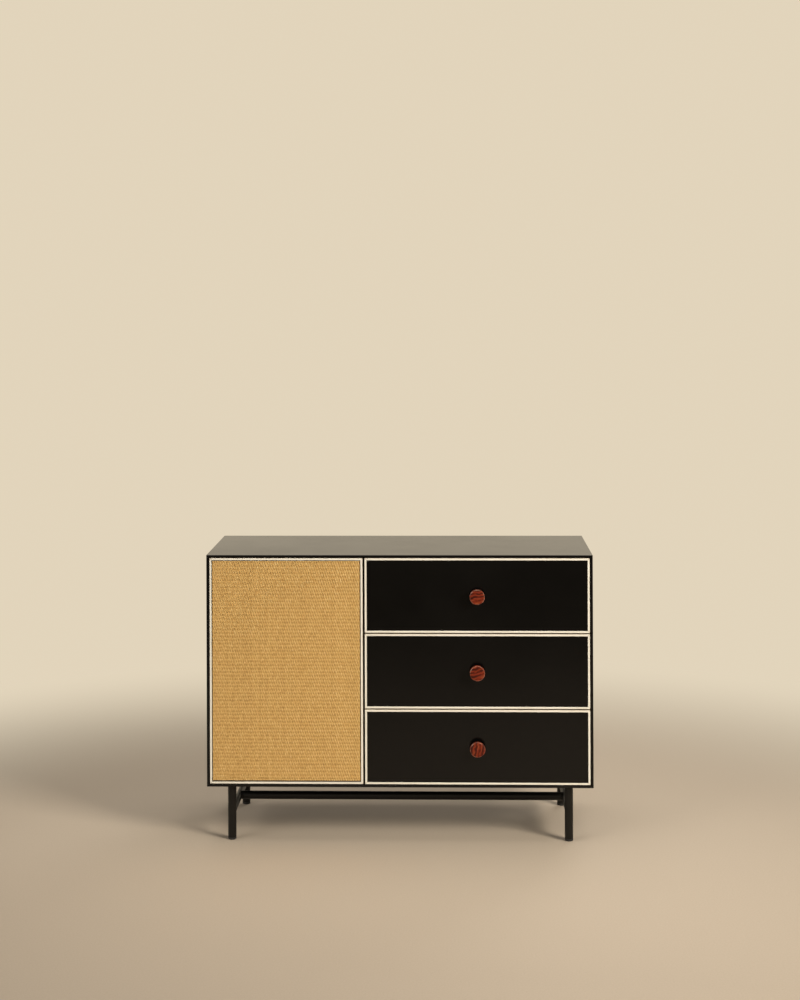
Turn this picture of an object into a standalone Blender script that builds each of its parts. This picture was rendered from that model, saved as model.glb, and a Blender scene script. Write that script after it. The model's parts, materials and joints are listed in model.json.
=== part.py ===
"""Low commode on a tubular base: a woven door on the left, three drawers on the right.

Metres, +Z up. X runs to the right and the fronts face -Y. The origin is on the floor,
under the middle of the outer box with the knobs included.
"""
import math

import bmesh
import bpy
from mathutils import Matrix

# Overall sizes
WIDTH = 1.100
DEPTH = 0.400
CARCASS_HEIGHT = 0.660
LEG_HEIGHT = 0.157

# Clearances
SEAT_GAP = 0.0003
SWING_CLEARANCE = 0.0003
REBATE_CLEARANCE = 0.0008
PIN_END_GAP = 0.0005

# Carcass boards
PANEL = 0.018
LIP = 0.007
ARRIS = 0.0008
BACK_THICKNESS = 0.006
HOUSING_DEPTH = 0.006

# Fronts
FRONT_THICKNESS = 0.020
FRONT_GAP = 0.002
MIDDLE_GAP = 0.0058
DRAWER_GAP = 0.0035
DRAWER_COUNT = 3
DOOR_WIDTH = 0.437
EDGING = 0.0070

# Door
WEAVE_RECESS = 0.0012
WEAVE_THICKNESS = 0.0040
WEAVE_MARGIN = 0.0015
PIVOT_FROM_EDGE = 0.010
PIVOT_PIN_DIAMETER = 0.0044
BUSH_WALL = 0.0010
BUSH_COVER = 0.0025

# Push latch behind the door's free edge
LATCH_WIDTH = 0.014
LATCH_HEIGHT = 0.020
LATCH_LENGTH = 0.050
LATCH_SETBACK = 0.002
LATCH_DROP = 0.070
LATCH_TRAVEL = 0.003
LATCH_PLAY = 0.0004
PLUNGER_DIAMETER = 0.008
PLUNGER_LENGTH = 0.032
PLUNGER_ROUND = 0.0015
STRIKE_WIDTH = 0.012
STRIKE_HEIGHT = 0.030
STRIKE_THICKNESS = 0.0015

# Cupboard shelf
SHELF_RISE = 0.300
SHELF_SETBACK = 0.020
SHELF_CLEARANCE = 0.001
SHELF_PIN_DIAMETER = 0.005
SHELF_PIN_HOLE = 0.010
SHELF_PIN_STUB = 0.009
SHELF_PIN_INSET = 0.045

# Drawer boxes
DRAWER_SIDE = 0.016
DRAWER_SIDE_CLEARANCE = 0.0015
BOX_RISE = 0.014
BOX_DROP = 0.038
BOX_BACK_CLEARANCE = 0.022
BOX_BACK_THICKNESS = 0.012
BOX_BACK_SETBACK = 0.010
BOX_BACK_DROP = 0.004
BOX_BACK_HOUSING = 0.005
BOX_BOTTOM_THICKNESS = 0.006
BOX_BOTTOM_RISE = 0.010
BOX_BOTTOM_GROOVE = 0.005
FRONT_GROOVE = 0.008
SIDE_ROUND = 0.002

# Drawer runners
RUNNER_HEIGHT = 0.018
RUNNER_REACH = 0.0077
RUNNER_RISE = 0.070
RUNNER_SETBACK = 0.004
RUNNER_END_GAP = 0.0005

# Turned knobs
KNOB_DIAMETER = 0.043
KNOB_PROJECTION = 0.030
KNOB_HEAD = 0.014
KNOB_ROUND = 0.0022
KNOB_NECK_DIAMETER = 0.022
KNOB_STEM_DIAMETER = 0.008
KNOB_STEM_LENGTH = 0.012

# Tubular base
TUBE_DIAMETER = 0.024
RAIL_DIAMETER = 0.019
LEG_INSET_SIDE = 0.0686
LEG_INSET_FRONT = 0.029
LEG_PLATE_DIAMETER = 0.040
LEG_PLATE_THICKNESS = 0.0025
RAIL_HEIGHT = 0.0765
GLIDE_HEIGHT = 0.006
GLIDE_ROUND = 0.003
GLIDE_STEM_DIAMETER = 0.009
GLIDE_STEM_LENGTH = 0.018

# Sides of round pieces
TUBE_SIDES = 24
KNOB_SIDES = 40
PIN_SIDES = 16
ROUND_STEPS = 4

# Outer planes of the carcass
LEFT = -WIDTH / 2
RIGHT = WIDTH / 2
FRONT = (KNOB_PROJECTION - DEPTH) / 2
BACK = FRONT + DEPTH
BOTTOM = LEG_HEIGHT
TOP = LEG_HEIGHT + CARCASS_HEIGHT

# The pivot lets the door's front corner turn inside the gap, and the rebate clears its back corner
PIVOT_SWING = PIVOT_FROM_EDGE + FRONT_GAP - SWING_CLEARANCE
PIVOT_FROM_FACE = math.sqrt(PIVOT_SWING ** 2 - PIVOT_FROM_EDGE ** 2)
DOOR_SWEEP = math.hypot(PIVOT_FROM_EDGE, FRONT_THICKNESS - PIVOT_FROM_FACE)
REBATE = PIVOT_FROM_FACE + DOOR_SWEEP + REBATE_CLEARANCE
BACK_REBATE = BACK_THICKNESS + SEAT_GAP
MITRE_SETBACK = SEAT_GAP / math.sqrt(2)

# Inner faces of the carcass
INNER_LEFT = LEFT + PANEL
INNER_RIGHT = RIGHT - PANEL
INNER_BOTTOM = BOTTOM + PANEL
INNER_TOP = TOP - PANEL
INNER_FRONT = FRONT + REBATE
INNER_BACK = BACK - BACK_REBATE

# Field of the fronts
DOOR_LEFT = LEFT + LIP + FRONT_GAP
DOOR_RIGHT = DOOR_LEFT + DOOR_WIDTH
DRAWERS_LEFT = DOOR_RIGHT + MIDDLE_GAP
DRAWERS_RIGHT = RIGHT - LIP - FRONT_GAP
DRAWERS_MIDDLE = (DRAWERS_LEFT + DRAWERS_RIGHT) / 2
DRAWER_WIDTH = DRAWERS_RIGHT - DRAWERS_LEFT
FRONTS_BOTTOM = BOTTOM + LIP + FRONT_GAP
FRONTS_TOP = TOP - LIP - FRONT_GAP
DOOR_HEIGHT = FRONTS_TOP - FRONTS_BOTTOM
DRAWER_HEIGHT = (DOOR_HEIGHT - (DRAWER_COUNT - 1) * DRAWER_GAP) / DRAWER_COUNT
DRAWER_PITCH = DRAWER_HEIGHT + DRAWER_GAP
DIVIDER_MIDDLE = (DOOR_RIGHT + DRAWERS_LEFT) / 2
DIVIDER_LEFT = DIVIDER_MIDDLE - PANEL / 2
DIVIDER_RIGHT = DIVIDER_MIDDLE + PANEL / 2

# Door pivot, bushes and latch
PIVOT_X = DOOR_LEFT + PIVOT_FROM_EDGE
PIVOT_Y = FRONT + PIVOT_FROM_FACE
PIVOT_BORE = PIVOT_PIN_DIAMETER / 2 + SEAT_GAP
BUSH_RADIUS = PIVOT_BORE + BUSH_WALL
BUSH_DEPTH = LIP - BUSH_COVER
PIVOT_PIN_REACH = FRONT_GAP + BUSH_DEPTH - PIN_END_GAP
LATCH_X = DIVIDER_LEFT - SEAT_GAP - LATCH_WIDTH / 2
LATCH_Z = INNER_TOP - LATCH_DROP
STRIKE_Y = FRONT + FRONT_THICKNESS + SEAT_GAP
PLUNGER_Y = STRIKE_Y + STRIKE_THICKNESS + SEAT_GAP
PLUNGER_RADIUS = PLUNGER_DIAMETER / 2

# Drawer box, measured from the drawer's front face and lower edge
BOX_START = FRONT_THICKNESS + SEAT_GAP
BOX_END = DEPTH - BACK_REBATE - BOX_BACK_CLEARANCE
BOX_TOP = DRAWER_HEIGHT - BOX_DROP
BOX_LEFT = DIVIDER_RIGHT + DRAWER_SIDE_CLEARANCE - DRAWERS_MIDDLE
BOX_RIGHT = INNER_RIGHT - DRAWER_SIDE_CLEARANCE - DRAWERS_MIDDLE
BOX_INNER_LEFT = BOX_LEFT + DRAWER_SIDE
BOX_INNER_RIGHT = BOX_RIGHT - DRAWER_SIDE
BOX_FLOOR = BOX_RISE + BOX_BOTTOM_RISE
BOX_FLOOR_TOP = BOX_FLOOR + BOX_BOTTOM_THICKNESS
BOX_BACK_END = BOX_END - BOX_BACK_SETBACK
BOX_BACK_START = BOX_BACK_END - BOX_BACK_THICKNESS
RUNNER_LOW = BOX_RISE + RUNNER_RISE
RUNNER_TOP = RUNNER_LOW + RUNNER_HEIGHT
RUNNER_GROOVE = RUNNER_REACH + RUNNER_END_GAP

# Shelf and its pins
SHELF_LOW = INNER_BOTTOM + SHELF_RISE
SHELF_FRONT = INNER_FRONT + SHELF_SETBACK
SHELF_BACK = INNER_BACK - SHELF_CLEARANCE
SHELF_PIN_RADIUS = SHELF_PIN_DIAMETER / 2
SHELF_PIN_Z = SHELF_LOW - SEAT_GAP - SHELF_PIN_RADIUS

# Base
TUBE_RADIUS = TUBE_DIAMETER / 2
RAIL_RADIUS = RAIL_DIAMETER / 2
LEG_X = WIDTH / 2 - LEG_INSET_SIDE
LEG_FRONT_Y = FRONT + LEG_INSET_FRONT
LEG_REAR_Y = BACK - LEG_INSET_FRONT
LEG_TOP = BOTTOM - SEAT_GAP
LEG_FOOT = GLIDE_HEIGHT + SEAT_GAP

# Turns that point a turned piece, made along +Z, another way
TO_FRONT = (math.pi / 2, 0, 0)
TO_RIGHT = (0, math.pi / 2, 0)
TO_LEFT = (0, -math.pi / 2, 0)
OVER_X = (math.pi, 0, 0)
OVER_Y = (0, math.pi, 0)
UPRIGHT = (0, 0, 0)

# Finishes: colour, roughness and metallic value
BLACK_LACQUER = ((0.0045, 0.0045, 0.0040), 0.28, 0.0)
CREAM_LACQUER = ((0.78, 0.70, 0.55), 0.45, 0.0)
WOVEN_STRAW = ((0.56, 0.32, 0.095), 0.75, 0.0)
STRIPED_WOOD = ((0.15, 0.030, 0.014), 0.38, 0.0)
PALE_WOOD = ((0.58, 0.43, 0.27), 0.60, 0.0)
BLACK_STEEL = ((0.018, 0.016, 0.013), 0.42, 0.5)
BLACK_NYLON = ((0.020, 0.020, 0.020), 0.60, 0.0)
GREY_NYLON = ((0.25, 0.25, 0.24), 0.55, 0.0)
BARE_STEEL = ((0.55, 0.54, 0.52), 0.30, 1.0)
BRASS = ((0.62, 0.43, 0.16), 0.30, 1.0)


def clear_scene():
    """Start from an empty scene."""
    for old in list(bpy.data.objects):
        bpy.data.objects.remove(old, do_unlink=True)


def empty(name, location):
    """An empty that stands on a moving body's axis and carries its pieces."""
    axis = bpy.data.objects.new(name, None)
    axis.location = location
    bpy.context.scene.collection.objects.link(axis)
    return axis


def add_material(mesh, name, finish):
    """Give a mesh its own Principled finish."""
    colour, roughness, metallic = finish
    material = bpy.data.materials.new(name)
    material.use_nodes = True
    shader = material.node_tree.nodes["Principled BSDF"]
    shader.inputs["Base Color"].default_value = (*colour, 1.0)
    shader.inputs["Roughness"].default_value = roughness
    shader.inputs["Metallic"].default_value = metallic
    mesh.materials.append(material)


def make_object(name, bm, finish=None, parent=None, location=(0, 0, 0), rotation=UPRIGHT):
    """Turn a bmesh into a placed object."""
    bmesh.ops.recalc_face_normals(bm, faces=bm.faces[:])
    mesh = bpy.data.meshes.new(name)
    bm.to_mesh(mesh)
    bm.free()
    if finish:
        add_material(mesh, name, finish)
    piece = bpy.data.objects.new(name, mesh)
    piece.parent = parent
    piece.location = location
    piece.rotation_euler = rotation
    bpy.context.scene.collection.objects.link(piece)
    return piece


def shade_round(piece):
    """Smooth shading with creases at the real edges."""
    piece.data.shade_smooth()
    piece.data.set_sharp_from_angle(angle=math.radians(35))


def soften(piece, width):
    """A narrow flat chamfer along every edge."""
    bevel = piece.modifiers.new("arris", "BEVEL")
    bevel.width = width
    bevel.segments = 1
    bevel.limit_method = "ANGLE"


def cut(piece, cutter):
    """Cut one object out of another and keep the cutter out of sight."""
    cutter.hide_render = True
    cutter.display_type = "WIRE"
    boolean = piece.modifiers.new(cutter.name, "BOOLEAN")
    boolean.operation = "DIFFERENCE"
    boolean.solver = "EXACT"
    boolean.object = cutter


def block(low, high):
    """A box between two corners."""
    bm = bmesh.new()
    bmesh.ops.create_cube(bm, size=1.0)
    size = [b - a for a, b in zip(low, high)]
    middle = [(a + b) / 2 for a, b in zip(low, high)]
    bmesh.ops.scale(bm, vec=size, verts=bm.verts)
    bmesh.ops.translate(bm, vec=middle, verts=bm.verts)
    return bm


def prism(outline, along, start, end):
    """A closed outline, given in the two other axes, run along X or Y."""
    bm = bmesh.new()
    if along == "X":
        points = [(start, a, b) for a, b in outline]
        step = (end - start, 0, 0)
    else:
        points = [(a, start, b) for a, b in outline]
        step = (0, end - start, 0)
    face = bm.faces.new([bm.verts.new(point) for point in points])
    run = bmesh.ops.extrude_face_region(bm, geom=[face])
    moved = [item for item in run["geom"] if isinstance(item, bmesh.types.BMVert)]
    bmesh.ops.translate(bm, vec=step, verts=moved)
    return bm


def turned(profile, sides, closed=False):
    """A profile of (radius, height) points turned about Z."""
    bm = bmesh.new()
    points = [bm.verts.new((radius, 0, height)) for radius, height in profile]
    edges = [bm.edges.new(pair) for pair in zip(points, points[1:])]
    if closed:
        edges.append(bm.edges.new((points[-1], points[0])))
    bmesh.ops.spin(bm, geom=points + edges, cent=(0, 0, 0), axis=(0, 0, 1),
                   angle=math.tau, steps=sides, use_merge=True)
    bmesh.ops.remove_doubles(bm, verts=bm.verts, dist=1e-6)
    return bm


def rod(radius, start, end, sides):
    """A plain round bar along Z."""
    return turned([(0, start), (radius, start), (radius, end), (0, end)], sides)


def arc(middle, radius, first, last):
    """Points on an arc in a profile, with its angles in degrees."""
    steps = range(ROUND_STEPS + 1)
    angles = [math.radians(first + (last - first) * step / ROUND_STEPS) for step in steps]
    return [(middle[0] + radius * math.cos(a), middle[1] + radius * math.sin(a)) for a in angles]


def edging_frame(width, height):
    """A mitred frame of edging, centred, with its front at Y = 0."""
    bm = bmesh.new()
    bmesh.ops.create_grid(bm, x_segments=1, y_segments=1, size=0.5)
    bmesh.ops.scale(bm, vec=(width, height, 1), verts=bm.verts)
    bmesh.ops.inset_region(bm, faces=bm.faces[:], thickness=EDGING, use_boundary=True, use_even_offset=True)
    field = min(bm.faces, key=lambda face: face.calc_center_median().length)
    bmesh.ops.delete(bm, geom=[field], context="FACES")
    run = bmesh.ops.extrude_face_region(bm, geom=bm.faces[:])
    moved = [item for item in run["geom"] if isinstance(item, bmesh.types.BMVert)]
    bmesh.ops.translate(bm, vec=(0, 0, -FRONT_THICKNESS), verts=moved)
    bmesh.ops.rotate(bm, verts=bm.verts, matrix=Matrix.Rotation(math.pi / 2, 3, "X"))
    return bm


# Carcass

def carcass_board(name, length, location, rotation):
    """A mitred board: X along it, Y from front to back, Z inwards from its outer face."""
    outline = [
        (0, ARRIS),
        (0, LIP - ARRIS),
        (ARRIS, LIP),
        (REBATE, LIP),
        (REBATE, PANEL),
        (DEPTH - BACK_REBATE, PANEL),
        (DEPTH - BACK_REBATE, LIP),
        (DEPTH, LIP),
        (DEPTH, ARRIS),
        (DEPTH - ARRIS, 0),
        (ARRIS, 0),
    ]
    bm = bmesh.new()
    reach = length / 2 - MITRE_SETBACK
    face = bm.faces.new([bm.verts.new((inward - reach, depth, inward)) for depth, inward in outline])
    run = bmesh.ops.extrude_face_region(bm, geom=[face])
    for item in run["geom"]:
        if isinstance(item, bmesh.types.BMVert):
            item.co.x = -item.co.x
    return make_object(name, bm, BLACK_LACQUER, location=location, rotation=rotation)


def build_carcass():
    """Four mitred boards, the back and the divider in its housings."""
    middle = (BOTTOM + TOP) / 2
    top = carcass_board("top_panel", WIDTH, (0, FRONT, TOP), OVER_Y)
    bottom = carcass_board("bottom_panel", WIDTH, (0, FRONT, BOTTOM), UPRIGHT)
    left = carcass_board("left_side_panel", CARCASS_HEIGHT, (LEFT, FRONT, middle), TO_RIGHT)
    carcass_board("right_side_panel", CARCASS_HEIGHT, (RIGHT, FRONT, middle), TO_LEFT)

    rim = LIP + SEAT_GAP
    low = (LEFT + rim, BACK - BACK_THICKNESS, BOTTOM + rim)
    high = (RIGHT - rim, BACK, TOP - rim)
    make_object("back_panel", block(low, high), BLACK_LACQUER)

    low = (DIVIDER_LEFT, INNER_FRONT, INNER_BOTTOM - HOUSING_DEPTH + SEAT_GAP)
    high = (DIVIDER_RIGHT, INNER_BACK, INNER_TOP + HOUSING_DEPTH - SEAT_GAP)
    divider = make_object("divider", block(low, high), BLACK_LACQUER)
    low = (DIVIDER_LEFT - SEAT_GAP, INNER_FRONT - ARRIS, INNER_BOTTOM - HOUSING_DEPTH)
    high = (DIVIDER_RIGHT + SEAT_GAP, INNER_BACK + ARRIS, INNER_TOP + HOUSING_DEPTH)
    housing = make_object("divider_housing", block(low, high))
    cut(top, housing)
    cut(bottom, housing)
    return top, bottom, left, divider


def build_shelf(left, divider):
    """The cupboard's shelf on four pins in blind holes."""
    low = (INNER_LEFT + SHELF_CLEARANCE, SHELF_FRONT, SHELF_LOW)
    high = (DIVIDER_LEFT - SHELF_CLEARANCE, SHELF_BACK, SHELF_LOW + PANEL)
    shelf = make_object("shelf", block(low, high), BLACK_LACQUER)
    soften(shelf, ARRIS)

    end = SHELF_PIN_RADIUS - ARRIS
    stem = SEAT_GAP - SHELF_PIN_HOLE
    profile = [
        (0, stem),
        (SHELF_PIN_RADIUS, stem),
        (SHELF_PIN_RADIUS, SHELF_PIN_STUB - ARRIS),
        (end, SHELF_PIN_STUB),
        (0, SHELF_PIN_STUB),
    ]
    walls = [("left", INNER_LEFT, TO_RIGHT, left), ("right", DIVIDER_LEFT, TO_LEFT, divider)]
    rows = [("front", SHELF_FRONT + SHELF_PIN_INSET), ("rear", SHELF_BACK - SHELF_PIN_INSET)]
    for side, x, turn, wall in walls:
        for row, y in rows:
            place = (x, y, SHELF_PIN_Z)
            name = f"shelf_pin_{row}_{side}"
            pin = make_object(name, turned(profile, PIN_SIDES), BARE_STEEL, location=place, rotation=turn)
            shade_round(pin)
            hole = rod(SHELF_PIN_RADIUS + SEAT_GAP, -SHELF_PIN_HOLE, SHELF_PIN_STUB, PIN_SIDES)
            cut(wall, make_object(f"{name}_hole", hole, location=place, rotation=turn))


def build_runners():
    """A hardwood strip on each side of every drawer."""
    reach = DRAWER_SIDE_CLEARANCE + RUNNER_REACH
    start = INNER_FRONT + RUNNER_SETBACK
    end = INNER_BACK - RUNNER_SETBACK
    for number in range(1, DRAWER_COUNT + 1):
        low = drawer_base(number) + RUNNER_LOW
        top = low + RUNNER_HEIGHT
        for side, wall, inward in (("left", DIVIDER_RIGHT, 1), ("right", INNER_RIGHT, -1)):
            seat = wall + inward * SEAT_GAP
            shoulder = wall + inward * (reach - ARRIS)
            tip = wall + inward * reach
            outline = [
                (seat, low),
                (shoulder, low),
                (tip, low + ARRIS),
                (tip, top - ARRIS),
                (shoulder, top),
                (seat, top),
            ]
            make_object(f"drawer_{number}_runner_{side}", prism(outline, "Y", start, end), PALE_WOOD)


# Base

def build_base():
    """Four legs on glides, with a rail on each side and one stretcher between the rails."""
    stem = GLIDE_STEM_DIAMETER / 2
    bore = stem + SEAT_GAP
    bore_top = LEG_FOOT + GLIDE_STEM_LENGTH
    plate = LEG_PLATE_DIAMETER / 2
    plate_low = LEG_TOP - LEG_PLATE_THICKNESS
    leg_profile = [
        (0, LEG_TOP),
        (plate, LEG_TOP),
        (plate, plate_low),
        (TUBE_RADIUS, plate_low),
        (TUBE_RADIUS, LEG_FOOT),
        (bore, LEG_FOOT),
        (bore, bore_top),
        (0, bore_top),
    ]
    glide_profile = [
        (0, bore_top - SEAT_GAP),
        (stem, bore_top - SEAT_GAP),
        (stem, GLIDE_HEIGHT),
        (TUBE_RADIUS, GLIDE_HEIGHT),
        *arc((TUBE_RADIUS - GLIDE_ROUND, GLIDE_ROUND), GLIDE_ROUND, 0, -90),
        (0, 0),
    ]
    sides = [("left", -LEG_X), ("right", LEG_X)]
    rows = [("front", LEG_FRONT_Y), ("rear", LEG_REAR_Y)]
    leg_clearance = TUBE_RADIUS + SEAT_GAP
    rail_clearance = RAIL_RADIUS + SEAT_GAP
    span = LEG_REAR_Y - LEG_FRONT_Y
    stretcher_y = (LEG_FRONT_Y + LEG_REAR_Y) / 2
    reach = LEG_X - RAIL_RADIUS / 2
    stretcher = make_object("stretcher", rod(TUBE_RADIUS, -reach, reach, TUBE_SIDES), BLACK_STEEL,
                            location=(0, stretcher_y, RAIL_HEIGHT), rotation=TO_RIGHT)
    shade_round(stretcher)
    for side, x in sides:
        rail_place = (x, LEG_REAR_Y, RAIL_HEIGHT)
        rail = make_object(f"side_rail_{side}", rod(RAIL_RADIUS, 0, span, TUBE_SIDES), BLACK_STEEL,
                           location=rail_place, rotation=TO_FRONT)
        shade_round(rail)
        saddle = make_object(f"stretcher_saddle_{side}", rod(rail_clearance, 0, span, TUBE_SIDES),
                             location=rail_place, rotation=TO_FRONT)
        cut(stretcher, saddle)
        for row, y in rows:
            place = (x, y, 0)
            leg = make_object(f"leg_{row}_{side}", turned(leg_profile, TUBE_SIDES), BLACK_STEEL,
                              location=place)
            shade_round(leg)
            glide = make_object(f"glide_{row}_{side}", turned(glide_profile, TUBE_SIDES), BLACK_NYLON,
                                location=place)
            shade_round(glide)
            saddle = make_object(f"rail_saddle_{row}_{side}",
                                 rod(leg_clearance, LEG_FOOT, LEG_TOP, TUBE_SIDES), location=place)
            cut(rail, saddle)


# Door

def build_door(top, bottom):
    """The woven door on two pivot pins, which turn in bushes in the lip above and below."""
    pivot = empty("door_pivot", (PIVOT_X, PIVOT_Y, FRONTS_BOTTOM))
    left = -PIVOT_FROM_EDGE
    right = left + DOOR_WIDTH
    face = -PIVOT_FROM_FACE
    middle = ((left + right) / 2, face, DOOR_HEIGHT / 2)
    edging = make_object("door_edging", edging_frame(DOOR_WIDTH, DOOR_HEIGHT), CREAM_LACQUER, pivot, middle)

    rim = EDGING + SEAT_GAP
    weave_back = face + WEAVE_RECESS + WEAVE_THICKNESS
    low = (left + rim, weave_back + SEAT_GAP, rim)
    high = (right - rim, face + FRONT_THICKNESS, DOOR_HEIGHT - rim)
    make_object("door_board", block(low, high), BLACK_LACQUER, pivot)

    rim = EDGING + WEAVE_MARGIN
    low = (left + rim, face + WEAVE_RECESS, rim)
    high = (right - rim, weave_back, DOOR_HEIGHT - rim)
    weave = make_object("woven_panel", block(low, high), WOVEN_STRAW, pivot)
    soften(weave, ARRIS)

    radius = PIVOT_PIN_DIAMETER / 2
    seat = EDGING - SEAT_GAP
    profile = [
        (0, -PIVOT_PIN_REACH),
        (radius - ARRIS, -PIVOT_PIN_REACH),
        (radius, ARRIS - PIVOT_PIN_REACH),
        (radius, seat),
        (0, seat),
    ]
    for end, height, turn in (("lower", 0, UPRIGHT), ("upper", DOOR_HEIGHT, OVER_X)):
        pin = make_object(f"pivot_pin_{end}", turned(profile, PIN_SIDES), BARE_STEEL, pivot,
                          (0, 0, height), turn)
        shade_round(pin)
    bore = rod(PIVOT_BORE, -FRONT_GAP, DOOR_HEIGHT + FRONT_GAP, PIN_SIDES)
    cut(edging, make_object("pivot_pin_bore", bore, parent=pivot))

    ring = [(PIVOT_BORE, 0), (BUSH_RADIUS, 0), (BUSH_RADIUS, BUSH_DEPTH), (PIVOT_BORE, BUSH_DEPTH)]
    lower = BOTTOM + LIP - BUSH_DEPTH
    upper = TOP - LIP
    for end, height in (("lower", lower), ("upper", upper)):
        bush = make_object(f"pivot_bush_{end}", turned(ring, PIN_SIDES, closed=True), BRASS,
                           location=(PIVOT_X, PIVOT_Y, height))
        shade_round(bush)
    well = rod(BUSH_RADIUS + SEAT_GAP, lower - SEAT_GAP, upper + BUSH_DEPTH + SEAT_GAP, PIN_SIDES)
    wells = make_object("pivot_bush_wells", well, location=(PIVOT_X, PIVOT_Y, 0))
    cut(top, wells)
    cut(bottom, wells)

    x = LATCH_X - PIVOT_X
    y = STRIKE_Y - PIVOT_Y
    z = LATCH_Z - FRONTS_BOTTOM
    low = (x - STRIKE_WIDTH / 2, y, z - STRIKE_HEIGHT / 2)
    high = (x + STRIKE_WIDTH / 2, y + STRIKE_THICKNESS, z + STRIKE_HEIGHT / 2)
    make_object("strike_plate", block(low, high), BARE_STEEL, pivot)


def build_latch():
    """The push latch: a bored housing on the divider and a sprung plunger in it."""
    start = INNER_FRONT + LATCH_SETBACK
    low = (LATCH_X - LATCH_WIDTH / 2, start, LATCH_Z - LATCH_HEIGHT / 2)
    high = (LATCH_X + LATCH_WIDTH / 2, start + LATCH_LENGTH, LATCH_Z + LATCH_HEIGHT / 2)
    housing = make_object("latch_housing", block(low, high), GREY_NYLON)
    soften(housing, ARRIS)

    profile = [
        (0, 0),
        *arc((PLUNGER_RADIUS - PLUNGER_ROUND, -PLUNGER_ROUND), PLUNGER_ROUND, 90, 0),
        (PLUNGER_RADIUS, -PLUNGER_LENGTH),
        (0, -PLUNGER_LENGTH),
    ]
    place = (LATCH_X, PLUNGER_Y, LATCH_Z)
    plunger = make_object("latch_plunger", turned(profile, PIN_SIDES), GREY_NYLON,
                          location=place, rotation=TO_FRONT)
    shade_round(plunger)
    well = rod(PLUNGER_RADIUS + LATCH_PLAY, -PLUNGER_LENGTH - LATCH_TRAVEL - LATCH_PLAY, 0, PIN_SIDES)
    cut(housing, make_object("latch_bore", well, location=place, rotation=TO_FRONT))


# Drawers

def drawer_base(number):
    """Height of a drawer front's lower edge, counted from the top drawer."""
    return FRONTS_TOP + DRAWER_GAP - number * DRAWER_PITCH


def knob_profile():
    """A stem, a hollow neck and a flat disc with rounded rims."""
    radius = KNOB_DIAMETER / 2
    neck = KNOB_NECK_DIAMETER / 2
    stem = KNOB_STEM_DIAMETER / 2
    head_back = KNOB_PROJECTION - KNOB_HEAD
    hollow = min(radius - KNOB_ROUND - neck, head_back - SEAT_GAP)
    rim = radius - KNOB_ROUND
    return [
        (0, -KNOB_STEM_LENGTH),
        (stem, -KNOB_STEM_LENGTH),
        (stem, SEAT_GAP),
        (neck, SEAT_GAP),
        *arc((neck + hollow, head_back - hollow), hollow, 180, 90),
        *arc((rim, head_back + KNOB_ROUND), KNOB_ROUND, -90, 0),
        *arc((rim, KNOB_PROJECTION - KNOB_ROUND), KNOB_ROUND, 0, 90),
        (0, KNOB_PROJECTION),
    ]


def drawer_side(name, outer, inward, slide):
    """A side with a runner groove outside, and a groove for the bottom and a housing inside."""
    inner = outer + inward * DRAWER_SIDE
    groove = inner - inward * BOX_BOTTOM_GROOVE
    slot = outer + inward * RUNNER_GROOVE
    outline = [
        (outer, BOX_RISE),
        (inner, BOX_RISE),
        (inner, BOX_FLOOR - SEAT_GAP),
        (groove, BOX_FLOOR - SEAT_GAP),
        (groove, BOX_FLOOR_TOP + SEAT_GAP),
        (inner, BOX_FLOOR_TOP + SEAT_GAP),
        (inner, BOX_TOP - SIDE_ROUND),
        (inner - inward * SIDE_ROUND, BOX_TOP),
        (outer + inward * SIDE_ROUND, BOX_TOP),
        (outer, BOX_TOP - SIDE_ROUND),
        (outer, RUNNER_TOP + SEAT_GAP),
        (slot, RUNNER_TOP + SEAT_GAP),
        (slot, RUNNER_LOW - SEAT_GAP),
        (outer, RUNNER_LOW - SEAT_GAP),
    ]
    side = make_object(name, prism(outline, "Y", BOX_START, BOX_END), PALE_WOOD, slide)
    ends = sorted((inner - inward * BOX_BACK_HOUSING, inner + inward * SIDE_ROUND))
    low = (ends[0], BOX_BACK_START - SEAT_GAP, BOX_FLOOR)
    high = (ends[1], BOX_BACK_END + SEAT_GAP, BOX_TOP + SIDE_ROUND)
    cut(side, make_object(f"{name}_housing", block(low, high), parent=slide))


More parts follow.
